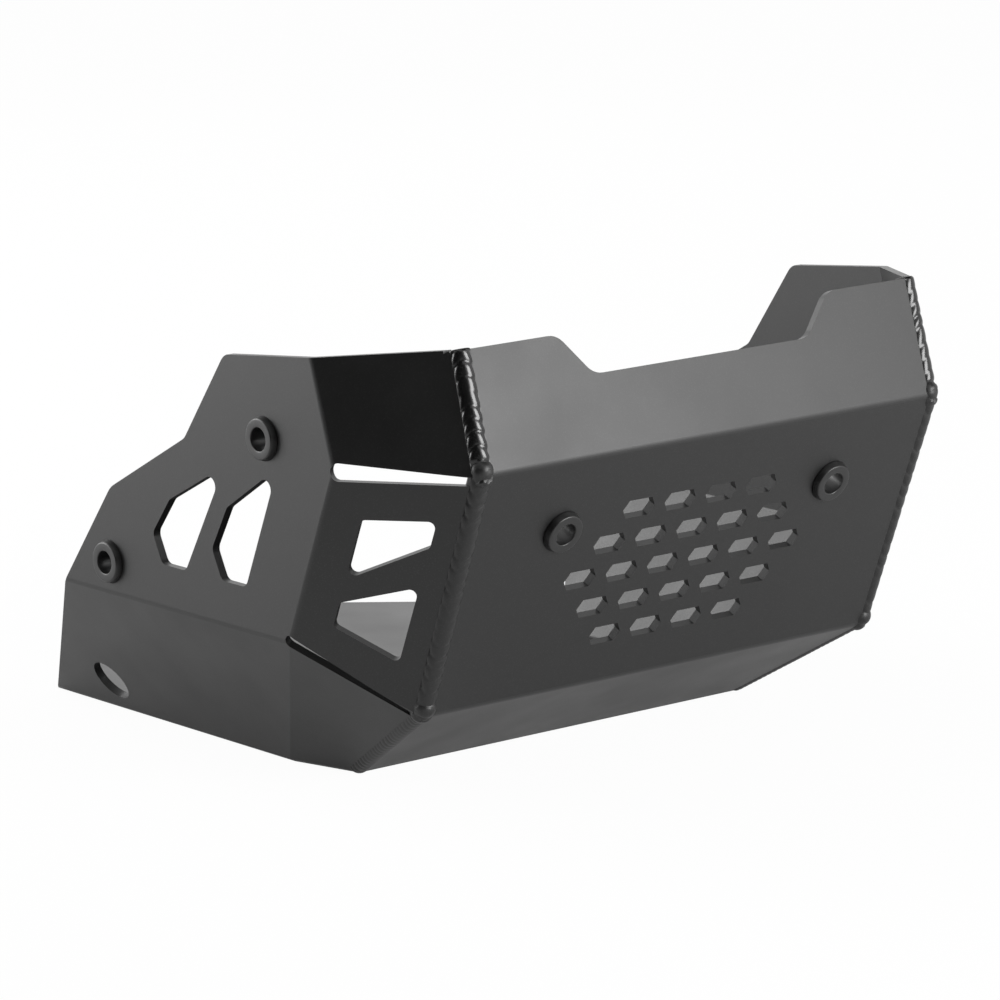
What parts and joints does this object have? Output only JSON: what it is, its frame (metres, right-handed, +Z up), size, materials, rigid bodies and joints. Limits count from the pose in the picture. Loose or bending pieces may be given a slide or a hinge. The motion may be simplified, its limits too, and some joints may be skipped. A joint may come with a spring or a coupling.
{
  "type": "motorcycle skid plate",
  "caption": "Motorcycle skid plate: an open tub of folded black aluminium sheet with welded front corners, vents, cut-out windows and rubber mounting grommets.",
  "frame": {"origin": "on the ground plane, under the middle of the plate's bounding box", "axes": "+Z up, +Y rearwards along the floor, +X to the right as seen from the front; the front panel faces -Y"},
  "size_m": [0.3634, 0.4091, 0.2196],
  "materials": {
    "plate": "satin black powder coat with a fine grain over aluminium sheet",
    "rubber": "satin moulded rubber"
  },
  "bodies": {
    "root": {"skid_plate": "plate", "grommet_front_left": "rubber", "grommet_front_right": "rubber", "grommet_fore_left": "rubber", "grommet_fore_right": "rubber", "grommet_aft_left": "rubber", "grommet_aft_right": "rubber"}
  },
  "joints": []
}
